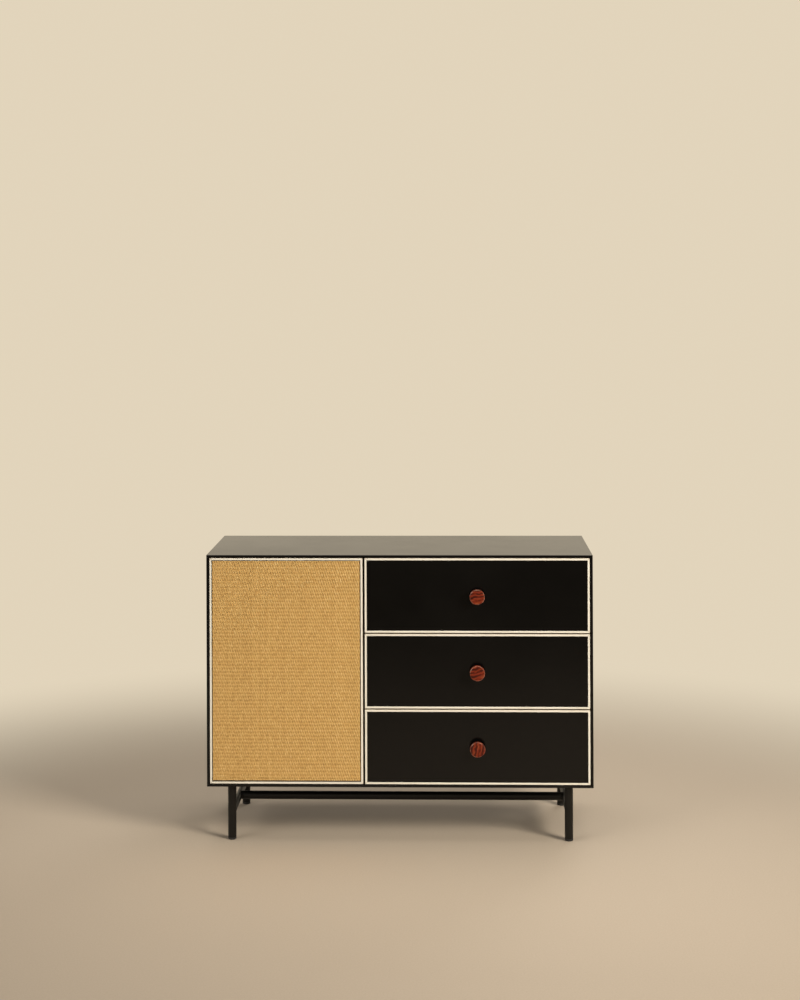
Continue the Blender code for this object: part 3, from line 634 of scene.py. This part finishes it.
def finish_piece(name, bm, body, finish, stands_for=(), crease=None):
    """Turn a bmesh into a piece that rides a body."""
    mesh = bpy.data.meshes.new(name)
    bm.to_mesh(mesh)
    bm.free()
    mesh.materials.append(finish)
    if crease:
        mesh.shade_smooth()
        mesh.set_sharp_from_angle(angle=math.radians(crease))
    piece = bpy.data.objects.new(name, mesh)
    bpy.context.scene.collection.objects.link(piece)
    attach(piece, body)
    if stands_for:
        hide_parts(*stands_for)
    return piece


def coat_solid(node, finish):
    """The finish of a solid that shows as it is."""
    solids[node].data.materials[0] = finish


def ease_edges(bm, radius, edges=None):
    """Round the hard edges, or only some, and mark the new faces as eased; the finishes lay worn edges there,
    and on the edging strips also painted shade.
    """
    rubbed = bm.faces.layers.float.new("arris")
    hard = [edge for edge in edges or bm.edges
            if edge.is_manifold and edge.calc_face_angle() > HARD_ANGLE]
    eased = bmesh.ops.bevel(bm, geom=hard, offset=radius, offset_type="OFFSET", segments=EASE_STEPS,
                            profile=0.5, affect="EDGES", clamp_overlap=True, material=-1)
    for face in eased["faces"]:
        face[rubbed] = 1.0


def ease_node(node, radius, finish):
    """A solid's own shape with its edges eased."""
    source = solids[node]
    bm = bmesh.new()
    bm.from_mesh(source.data)
    bmesh.ops.remove_doubles(bm, verts=bm.verts, dist=WELD)
    bmesh.ops.dissolve_limit(bm, angle_limit=FLAT_ANGLE, verts=bm.verts[:], edges=bm.edges[:])
    ease_edges(bm, radius)
    return finish_piece(f"{node}_eased", bm, source["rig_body"], finish, [node])


def spin_profile(bm, profile, sides):
    """Turn a profile of (radius, height) points about Z and return its new points."""
    before = set(bm.verts)
    points = [bm.verts.new((radius, 0, height)) for radius, height in profile]
    edges = [bm.edges.new(pair) for pair in zip(points, points[1:])]
    bmesh.ops.spin(bm, geom=points + edges, cent=(0, 0, 0), axis=(0, 0, 1), angle=math.tau, steps=sides,
                   use_merge=True)
    made = [vert for vert in bm.verts if vert not in before]
    bmesh.ops.remove_doubles(bm, verts=made, dist=WELD)
    made = [vert for vert in bm.verts if vert not in before]
    faces = list({face for vert in made for face in vert.link_faces})
    bmesh.ops.recalc_face_normals(bm, faces=faces)
    return made


def arc(middle, radius, first, last):
    """Points on an arc of a profile, with its angles in degrees."""
    angles = [math.radians(first + (last - first) * step / ARC_STEPS) for step in range(ARC_STEPS + 1)]
    return [(middle[0] + radius * math.cos(a), middle[1] + radius * math.sin(a)) for a in angles]


def put(bm, verts, direction, place):
    """Point a shape made along +Z another way and move it into place."""
    turn = Vector((0, 0, 1)).rotation_difference(Vector(direction)).to_matrix()
    bmesh.ops.rotate(bm, verts=verts, cent=(0, 0, 0), matrix=turn)
    bmesh.ops.translate(bm, verts=verts, vec=place)


def screw_head(bm, place, direction, radius, height):
    """A low head with a six-lobed recess, standing on a face."""
    before = set(bm.verts)
    made = bmesh.ops.create_cone(bm, cap_ends=True, segments=SCREW_SIDES, radius1=radius,
                                 radius2=radius * HEAD_TAPER, depth=height)
    bmesh.ops.translate(bm, verts=made["verts"], vec=(0, 0, height / 2))
    top = max((face for vert in made["verts"] for face in vert.link_faces),
              key=lambda face: face.calc_center_median().z)
    bmesh.ops.inset_individual(bm, faces=[top], thickness=radius * HEAD_RIM)
    for number, vert in enumerate(top.verts):
        reach = LOBE_OUT if number % 2 else LOBE_IN
        flat = Vector((vert.co.x, vert.co.y)).normalized() * radius * reach
        vert.co.x = flat.x
        vert.co.y = flat.y
    sunk = bmesh.ops.extrude_face_region(bm, geom=[top])
    floor_points = [item for item in sunk["geom"] if isinstance(item, bmesh.types.BMVert)]
    bmesh.ops.translate(bm, verts=floor_points, vec=(0, 0, -height * RECESS_DEPTH))
    bmesh.ops.delete(bm, geom=[top], context="FACES_ONLY")
    verts = [vert for vert in bm.verts if vert not in before]
    put(bm, verts, direction, place)


# Weave

def unevenness(kind, straw, along, across=0.0):
    """Noise that changes from straw to straw and along each straw."""
    per_straw, per_length, layer = kind
    return noise.noise((straw * per_straw + across, along * per_length, layer))


def weave_panel():
    """Upright straws that step over and under level warps on a slant, on a scrim."""
    low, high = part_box("woven_panel")
    scrim_back = high.y
    overhang = Vector((WEAVE_REACH, 0.0, WEAVE_REACH))
    low = low - overhang + Vector((0.0, 0.0, WEAVE_LIFT))
    high = high + overhang
    width = high.x - low.x
    height = high.z - low.z
    straws = round(width / STRAW_PITCH)
    rows = round(height / ROW_PITCH)
    pitch = width / straws
    row = height / rows
    middle = low.y + STRAW_DIVE + STRAW_CROWN + CROWN_ROOM

    bm = bmesh.new()
    tone = bm.verts.layers.float.new("straw_tone_and_shade")
    for number in range(straws):
        strand = bmesh.ops.create_grid(bm, x_segments=STRAW_ACROSS, y_segments=rows * STEPS_PER_ROW, size=0.5)
        own_tone = chance.gauss(STRAW_TONE, STRAW_TONE_SPREAD)
        own_width = STRAW_WIDTH * chance.uniform(*STRAW_WIDTH_RANGE)
        own_place = low.x + (number + 0.5 + chance.gauss(0.0, STRAW_STRAY)) * pitch
        step = math.tau * number / STRAWS_PER_STEP
        own_dive = STRAW_DIVE * (STRAW_EVEN + (1.0 - STRAW_EVEN) * number / straws)
        own_raised_light = RAISED_STITCH_LIGHT * number / straws
        for vert in strand["verts"]:
            across = vert.co.x
            z = low.z + (vert.co.y + 0.5) * height
            drift = unevenness(DRIFT, number, z)
            sway = unevenness(SWAY, number, z)
            uneven = unevenness(STITCH, number, z / row)
            fleck = unevenness(FLECK, number, z / row, across)
            turn = math.pi * (z - low.z) / row + SWAY_TURN * sway
            lift = math.cos(turn + step + STRAW_TWIST * across)
            press = math.copysign(abs(lift) ** PRESS_POWER, lift)
            ridge = math.cos(2.0 * turn)
            reach = own_width * (1.0 + STRAW_SWELL * press + ROW_SWELL * ridge) * (1.0 + DRIFT_SWELL * drift)
            x = own_place + across * reach
            x += STRAW_DRIFT * drift - STRAW_SLANT * math.sin(turn + step)
            crown = STRAW_CROWN * (1.0 - (2.0 * across) ** 2)
            rise = own_dive * press * (1.0 - DIVE_UNEVEN * abs(uneven)) + 0.5 * ROW_DIP * (ridge - 1.0)
            vert.co = (min(max(x, low.x), high.x), middle - rise - crown, z)
            # Painted shade where straws dive and along the row lines, and painted light on raised stitches
            # with painted shade on sunk ones, all laid into the same value as the straws' own random tones
            shade = HOLLOW_SHADE * max(-press, 0.0) + ROW_SHADE * (0.5 - 0.5 * ridge) ** 2
            shade -= (own_raised_light + RAISED_STITCH_LIGHT_SPREAD * uneven) * lift
            vert[tone] = own_tone + STITCH_TONE * uneven + FLECK_TONE * fleck + DRIFT_TONE * drift - shade
    for number in range(1, rows):
        warp = bmesh.ops.create_cone(bm, cap_ends=True, segments=WARP_SIDES, radius1=WARP_RADIUS,
                                     radius2=WARP_RADIUS, depth=width)
        spot = ((low.x + high.x) / 2, middle - WARP_FORWARD, low.z + number * row)
        put(bm, warp["verts"], (1, 0, 0), spot)
        for vert in warp["verts"]:
            vert[tone] = WARP_TONE
    finish_piece("straw_weave", bm, "door", honey_straw, ["woven_panel"], crease=STRAND_CREASE)

    bm = bmesh.new()
    bmesh.ops.create_cube(bm, size=1.0)
    front = middle + STRAW_DIVE + SCRIM_GAP
    bmesh.ops.scale(bm, vec=(width, scrim_back - front, height), verts=bm.verts)
    centre = ((low.x + high.x) / 2, (front + scrim_back) / 2, (low.z + high.z) / 2)
    bmesh.ops.translate(bm, vec=centre, verts=bm.verts)
    ease_edges(bm, SCRIM_EASE)
    finish_piece("weave_scrim", bm, "door", brown_scrim)


# Fronts

def edging_strips(node, body):
    """Four mitred strips of edging, each with a step along its inner edge and eased front edges."""
    low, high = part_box(node)
    depth = high.y - low.y
    section = (
        (0.0, 0.0),
        (EDGING_FACE, 0.0),
        (EDGING_FACE, EDGING_STEP),
        (EDGING, EDGING_STEP),
        (EDGING, depth),
        (0.0, depth),
    )
    corners = [Vector((x, low.y, z)) for x, z in (
        (low.x, low.z), (high.x, low.z), (high.x, high.z), (low.x, high.z))]
    bm = bmesh.new()
    side_shade_mask = bm.faces.layers.float.new("strip_side_shade")
    dark = bm.faces.layers.float.new("strip_step_shade")
    for start, end in zip(corners, corners[1:] + corners[:1]):
        along = (end - start).normalized()
        inward = Vector((-along.z, 0.0, along.x))
        near = [bm.verts.new(start + inward * inset + Vector((0.0, back, 0.0))) for inset, back in section]
        run = bmesh.ops.extrude_face_region(bm, geom=[bm.faces.new(near)])
        far = [item for item in run["geom"] if isinstance(item, bmesh.types.BMVert)]
        bmesh.ops.translate(bm, vec=end - start, verts=far)
        for verts, way in ((near, 1.0), (far, -1.0)):
            for vert in verts:
                vert.co += along * way * (vert.co - start).dot(inward)
    bmesh.ops.recalc_face_normals(bm, faces=bm.faces[:])
    for face in bm.faces:
        behind = face.calc_center_median().y - low.y
        # Side faces are marked for the painted brown shade of the gaps
        face[side_shade_mask] = 1.0 if abs(face.normal.y) < 0.5 else 0.0
        # Faces of the step are marked for black lacquer that is partly painted shade
        face[dark] = 1.0 if WELD < behind < EDGING_STEP + WELD else 0.0
    front = [edge for edge in bm.edges if all(vert.co.y < low.y + WELD for vert in edge.verts)]
    ease_edges(bm, EDGING_EASE, front)
    finish_piece(f"{node}_strips", bm, body, cream_lacquer, [node])


def turn_knob(node, body, angle, shift):
    """A turned knob: stem, hollow neck and a slightly crowned disc, with a screw behind the front."""
    low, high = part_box(node)
    middle = ((low.x + high.x) / 2, low.y + KNOB_PROJECTION, (low.z + high.z) / 2)
    edge = KNOB_RADIUS - KNOB_RIM
    head_back = KNOB_PROJECTION - KNOB_HEAD
    hollow = min(edge - KNOB_NECK_RADIUS, head_back - SEAT_GAP)
    crown = [(edge * share, KNOB_PROJECTION - KNOB_CROWN * share ** 2) for share in CROWN_SHARES]
    profile = [
        (0.0, -KNOB_STEM_LENGTH),
        (KNOB_STEM_RADIUS, -KNOB_STEM_LENGTH),
        (KNOB_STEM_RADIUS, SEAT_GAP),
        (KNOB_NECK_RADIUS, SEAT_GAP),
        *arc((KNOB_NECK_RADIUS + hollow, head_back - hollow), hollow, 180, 90),
        *arc((edge, head_back + KNOB_RIM), KNOB_RIM, -90, 0),
        *arc((edge, KNOB_PROJECTION - KNOB_CROWN - KNOB_RIM), KNOB_RIM, 0, 88),
        *crown,
    ]
    bm = bmesh.new()
    rubbed = bm.faces.layers.float.new("arris")
    verts = spin_profile(bm, profile, KNOB_SIDES)
    steep, flat = POLISHED_SLOPE
    # The rim's faces are marked for a polished coat and for a lighter colour that is partly a painted
    # highlight
    for face in bm.faces:
        if face.calc_center_median().z > head_back and steep < face.normal.z < flat:
            face[rubbed] = 1.0
    put(bm, verts, (0, -1, 0), middle)
    finish = make_striped_wood(f"striped_wood_{body}", middle, angle, shift)
    finish_piece(f"{node}_turned", bm, body, finish, [node], crease=TURNED_CREASE)

    bm = bmesh.new()
    back = max(vert.co.y for vert in solids[f"{body}_front"].data.vertices)
    screw_head(bm, (middle[0], back, middle[2]), (0, 1, 0), *KNOB_SCREW)
    finish_piece(f"{body}_knob_screw", bm, body, zinc_steel, crease=SCREW_CREASE)


def dress_drawer(number, angle, shift):
    """One drawer's front, edging, knob and box."""
    body = f"drawer_{number}"
    ease_node(f"{body}_front", FRONT_EASE, black_lacquer)
    edging_strips(f"{body}_edging", body)
    turn_knob(f"{body}_knob", body, angle, shift)
    ease_node(f"{body}_side_left", BOX_EASE, wood_along_y)
    ease_node(f"{body}_side_right", BOX_EASE, wood_along_y)
    ease_node(f"{body}_back", BOX_EASE, wood_along_x)
    ease_node(f"{body}_bottom", BOX_EASE, wood_along_x)


# Carcass

def dress_carcass():
    """Lacquered boards, runners, the door's board and the small fittings."""
    for node in ("top_panel", "bottom_panel", "left_side_panel", "right_side_panel", "divider", "shelf"):
        ease_node(node, BOARD_EASE, black_lacquer)
    for number in (1, 2, 3):
        for side in ("left", "right"):
            ease_node(f"drawer_{number}_runner_{side}", BOARD_EASE, wood_along_y)
    for row in ("front", "rear"):
        for side in ("left", "right"):
            coat_solid(f"shelf_pin_{row}_{side}", zinc_steel)
            coat_solid(f"glide_{row}_{side}", black_nylon)
    for end in ("lower", "upper"):
        coat_solid(f"pivot_bush_{end}", turned_brass)
        coat_solid(f"pivot_pin_{end}", zinc_steel)
    ease_node("latch_housing", FITTING_EASE, grey_nylon)
    coat_solid("latch_plunger", grey_nylon)
    ease_node("strike_plate", FITTING_EASE, zinc_steel)
    ease_node("door_board", BOARD_EASE, black_lacquer)


def fit_back():
    """The back panel, set in a hair from the rims so that its screws stay inside them."""
    low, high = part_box("back_panel")
    bm = bmesh.new()
    bmesh.ops.create_cube(bm, size=1.0)
    bmesh.ops.scale(bm, vec=(high.x - low.x, high.y - low.y - BACK_INSET, high.z - low.z), verts=bm.verts)
    middle = (low + high) / 2
    bmesh.ops.translate(bm, vec=(middle.x, middle.y - BACK_INSET / 2, middle.z), verts=bm.verts)
    ease_edges(bm, BOARD_EASE)
    finish_piece("back_panel_fitted", bm, "carcass", black_lacquer, ["back_panel"])

    spots = []
    for share in BACK_SCREWS_ACROSS:
        x = low.x + (high.x - low.x) * share
        spots.append((x, low.z + BACK_SCREW_EDGE))
        spots.append((x, high.z - BACK_SCREW_EDGE))
    for share in BACK_SCREWS_UP:
        z = low.z + (high.z - low.z) * share
        spots.append((low.x + BACK_SCREW_EDGE, z))
        spots.append((high.x - BACK_SCREW_EDGE, z))
    bm = bmesh.new()
    for x, z in spots:
        screw_head(bm, (x, high.y - BACK_INSET, z), (0, 1, 0), *BACK_SCREW)
    finish_piece("back_panel_screws", bm, "carcass", zinc_steel, crease=SCREW_CREASE)


def fit_small_screws():
    """Screws of the runners, the latch and the strike plate."""
    bm = bmesh.new()
    for number in (1, 2, 3):
        for side, inward in (("left", 1), ("right", -1)):
            low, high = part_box(f"drawer_{number}_runner_{side}")
            face = high.x if inward > 0 else low.x
            for share in RUNNER_SCREWS_ALONG:
                y = low.y + (high.y - low.y) * share
                spot = (face - inward * RUNNER_SCREW_SINK, y, (low.z + high.z) / 2)
                screw_head(bm, spot, (inward, 0, 0), *RUNNER_SCREW)
    low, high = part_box("latch_housing")
    for share in LATCH_SCREWS_ALONG:
        spot = (low.x, low.y + (high.y - low.y) * share, (low.z + high.z) / 2)
        screw_head(bm, spot, (-1, 0, 0), *LATCH_SCREW)
    finish_piece("runner_and_latch_screws", bm, "carcass", zinc_steel, crease=SCREW_CREASE)

    low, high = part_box("strike_plate")
    bm = bmesh.new()
    for z in (low.z + STRIKE_SCREW_EDGE, high.z - STRIKE_SCREW_EDGE):
        screw_head(bm, ((low.x + high.x) / 2, high.y, z), (0, 1, 0), *STRIKE_SCREW)
    finish_piece("strike_plate_screws", bm, "door", zinc_steel, crease=SCREW_CREASE)


# Base

def weld_bead(bm, points):
    """A closed bead of weld along a loop of points."""
    path = bpy.data.curves.new("bead", "CURVE")
    path.dimensions = "3D"
    path.bevel_depth = BEAD_RADIUS
    path.bevel_resolution = 1
    line = path.splines.new("POLY")
    line.points.add(len(points) - 1)
    for spot, point in zip(line.points, points):
        spot.co = (*point, 1.0)
    line.use_cyclic_u = True
    holder = bpy.data.objects.new("bead", path)
    mesh = holder.to_mesh()
    bm.from_mesh(mesh)
    holder.to_mesh_clear()
    bpy.data.objects.remove(holder)
    bpy.data.curves.remove(path)


def bead_turns():
    """Angles of the points round a bead."""
    return [math.tau * step / BEAD_STEPS for step in range(BEAD_STEPS)]


def rail_seam(x, y, z, toward):
    """Points round a side rail where it meets a leg."""
    seam = []
    for turn in bead_turns():
        along_x = RAIL_RADIUS * math.cos(turn)
        out = math.sqrt(TUBE_RADIUS ** 2 - along_x ** 2)
        seam.append((x + along_x, y + toward * out, z + RAIL_RADIUS * math.sin(turn)))
    return seam


def stretcher_seam(x, y, z, inward):
    """Points round the stretcher where it meets a thinner side rail."""
    seam = []
    for turn in bead_turns():
        rise = TUBE_RADIUS * math.sin(turn)
        out = math.sqrt(max(RAIL_RADIUS ** 2 - rise ** 2, (RAIL_RADIUS / 2) ** 2))
        seam.append((x + inward * out, y + TUBE_RADIUS * math.cos(turn), z + rise))
    return seam


def round_tube(name, node, start, end, radius):
    """A smooth tube between two points, in place of its solid."""
    run = Vector(end) - Vector(start)
    bm = bmesh.new()
    verts = spin_profile(bm, [(0, 0), (radius, 0), (radius, run.length), (0, run.length)], TUBE_SIDES)
    put(bm, verts, run.normalized(), start)
    finish_piece(name, bm, "carcass", black_steel, [node], crease=TURNED_CREASE)


def round_leg(node, x, y, bottom, top):
    """A smooth leg with its mounting plate, in place of its solid."""
    plate_low = top - LEG_PLATE_THICKNESS
    profile = [
        (0.0, top),
        (LEG_PLATE_RADIUS - PLATE_CHAMFER, top),
        (LEG_PLATE_RADIUS, top - PLATE_CHAMFER),
        (LEG_PLATE_RADIUS, plate_low + PLATE_CHAMFER),
        (LEG_PLATE_RADIUS - PLATE_CHAMFER, plate_low),
        *arc((TUBE_RADIUS + LEG_FILLET, plate_low - LEG_FILLET), LEG_FILLET, 90, 180),
        (TUBE_RADIUS, bottom + FOOT_CHAMFER),
        (TUBE_RADIUS - FOOT_CHAMFER, bottom),
        (0.0, bottom),
    ]
    bm = bmesh.new()
    verts = spin_profile(bm, profile, TUBE_SIDES)
    bmesh.ops.translate(bm, verts=verts, vec=(x, y, 0))
    finish_piece(f"{node}_tube", bm, "carcass", black_steel, [node], crease=TURNED_CREASE)


def screw_leg_plate(bm, x, y, z):
    """Screws in a circle under a leg's plate."""
    for number in range(LEG_SCREWS):
        turn = math.tau * number / LEG_SCREWS + math.pi / 2
        spot = (x + LEG_SCREW_CIRCLE * math.cos(turn), y + LEG_SCREW_CIRCLE * math.sin(turn), z)
        screw_head(bm, spot, (0, 0, -1), *LEG_SCREW)


def build_base():
    """Smooth legs with their plates, rails and stretcher, with weld beads and plate screws."""
    beads = bmesh.new()
    screws = bmesh.new()
    bar_low, bar_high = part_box("stretcher")
    bar_y = (bar_low.y + bar_high.y) / 2
    bar_z = (bar_low.z + bar_high.z) / 2
    for side, inward in (("left", 1), ("right", -1)):
        rail_low, rail_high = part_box(f"side_rail_{side}")
        rail_x = (rail_low.x + rail_high.x) / 2
        rail_z = (rail_low.z + rail_high.z) / 2
        ends = []
        for row, toward in (("front", 1), ("rear", -1)):
            node = f"leg_{row}_{side}"
            low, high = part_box(node)
            x = (low.x + high.x) / 2
            y = (low.y + high.y) / 2
            round_leg(node, x, y, low.z, high.z)
            weld_bead(beads, rail_seam(x, y, rail_z, toward))
            screw_leg_plate(screws, x, y, high.z - LEG_PLATE_THICKNESS)
            ends.append((x, y, rail_z))
        round_tube(f"side_rail_{side}_tube", f"side_rail_{side}", ends[0], ends[1], RAIL_RADIUS)
        weld_bead(beads, stretcher_seam(rail_x, bar_y, rail_z, inward))
    bar_start = (bar_low.x, bar_y, bar_z)
    bar_end = (bar_high.x, bar_y, bar_z)
    round_tube("stretcher_tube", "stretcher", bar_start, bar_end, TUBE_RADIUS)
    finish_piece("weld_beads", beads, "carcass", black_steel, crease=STRAND_CREASE)
    finish_piece("leg_plate_screws", screws, "carcass", zinc_steel, crease=SCREW_CREASE)


# Studio

def softbox(name, place, target, size, power, tint, mirrored):
    """A square soft lamp that looks at a point, and may stay out of reflections."""
    lamp = bpy.data.lights.new(name, "AREA")
    lamp.size = size
    lamp.spread = BEAM_SPREAD
    lamp.energy = power
    lamp.color = tint
    holder = bpy.data.objects.new(name, lamp)
    holder.location = place
    holder.rotation_euler = (Vector(target) - Vector(place)).to_track_quat("-Z", "Y").to_euler()
    holder.visible_camera = False
    holder.visible_glossy = mirrored
    bpy.context.scene.collection.objects.link(holder)


def light_studio():
    """Soft lamps and a world that shows as a plain pale backdrop."""
    for lamp in LAMPS:
        softbox(*lamp)
    world = bpy.data.worlds.new("studio")
    bpy.context.scene.world = world
    world.use_nodes = True
    tree = world.node_tree
    tree.nodes.clear()
    rays = add_node(tree, "ShaderNodeLightPath")
    seen = either(tree, rays.outputs["Is Camera Ray"], rays.outputs["Is Glossy Ray"])
    seen = either(tree, seen, rays.outputs["Is Transmission Ray"])
    ambient = add_node(tree, "ShaderNodeBackground", {
        "Color": (*AMBIENT, 1.0), "Strength": AMBIENT_STRENGTH})
    backdrop = add_node(tree, "ShaderNodeBackground", {"Color": (*BACKDROP, 1.0), "Strength": 1.0})
    mixed = add_node(tree, "ShaderNodeMixShader", {0: seen, 1: ambient.outputs[0], 2: backdrop.outputs[0]})
    out = add_node(tree, "ShaderNodeOutputWorld")
    tree.links.new(mixed.outputs[0], out.inputs["Surface"])


def lay_floor():
    """A plain pale floor that runs into the backdrop far behind the piece."""
    bm = bmesh.new()
    bmesh.ops.create_grid(bm, x_segments=1, y_segments=1, size=FLOOR_REACH)
    mesh = bpy.data.meshes.new("floor")
    bm.to_mesh(mesh)
    bm.free()
    material, tree, shader, place = start_material("pale_floor", roughness=0.85)
    pile = add_node(tree, "ShaderNodeTexNoise", {
        "Vector": place, "Scale": 220.0, "Detail": 6.0, "Roughness": 0.7})
    tuft = spread(tree, pile.outputs["Fac"], 0.0, 1.0, start=0.3, end=0.7)
    shade = tuple(value * FLOOR_SHADE for value in FLOOR_NEAR)
    tree.links.new(blend_colours(tree, tuft, shade, FLOOR_NEAR), shader.inputs["Base Color"])
    raise_surface(tree, shader, pile.outputs["Fac"], strength=0.15, distance=0.002)
    away = add_node(tree, "ShaderNodeVectorMath", {0: place, 1: FLOOR_MIDDLE}, operation="DISTANCE")
    far = add_node(tree, "ShaderNodeMapRange", {
        "Value": away.outputs["Value"], "From Min": FADE_START, "From Max": FADE_END},
        interpolation_type="SMOOTHSTEP")
    rays = add_node(tree, "ShaderNodeLightPath")
    share = times(tree, far.outputs["Result"], rays.outputs["Is Camera Ray"])
    glow = add_node(tree, "ShaderNodeEmission", {"Color": (*BACKDROP, 1.0), "Strength": 1.0})
    mixed = add_node(tree, "ShaderNodeMixShader", {0: share, 1: shader.outputs[0], 2: glow.outputs[0]})
    tree.links.new(mixed.outputs[0], tree.nodes["Material Output"].inputs["Surface"])
    mesh.materials.append(material)
    floor = bpy.data.objects.new("floor", mesh)
    bpy.context.scene.collection.objects.link(floor)


def aim_camera():
    """The photograph's camera, with its lens shifted down."""
    forward = Vector((
        -math.sin(CAMERA_YAW) * math.cos(CAMERA_PITCH),
        math.cos(CAMERA_YAW) * math.cos(CAMERA_PITCH),
        math.sin(CAMERA_PITCH)))
    level = Vector((math.cos(CAMERA_YAW), math.sin(CAMERA_YAW), 0.0))
    upright = level.cross(forward)
    right = level * math.cos(CAMERA_ROLL) + upright * math.sin(CAMERA_ROLL)
    up = upright * math.cos(CAMERA_ROLL) - level * math.sin(CAMERA_ROLL)
    lens = bpy.data.cameras.new("camera")
    lens.sensor_width = SENSOR
    lens.lens = CAMERA_FOCUS * SENSOR / PHOTO_HEIGHT
    lens.shift_y = -CAMERA_DROP / PHOTO_HEIGHT
    camera = bpy.data.objects.new("camera", lens)
    turn = Matrix((right, up, -forward)).transposed().to_4x4()
    camera.matrix_world = Matrix.Translation(CAMERA_PLACE) @ turn
    bpy.context.scene.collection.objects.link(camera)
    bpy.context.scene.camera = camera


def main():
    """The studio, then every piece of the commode."""
    aim_camera()
    light_studio()
    lay_floor()
    bpy.context.scene.view_settings.view_transform = "Standard"
    dress_carcass()
    fit_back()
    fit_small_screws()
    build_base()
    weave_panel()
    edging_strips("door_edging", "door")
    for number, degrees, shift in KNOB_STRIPES:
        dress_drawer(number, math.radians(degrees), shift)


main()
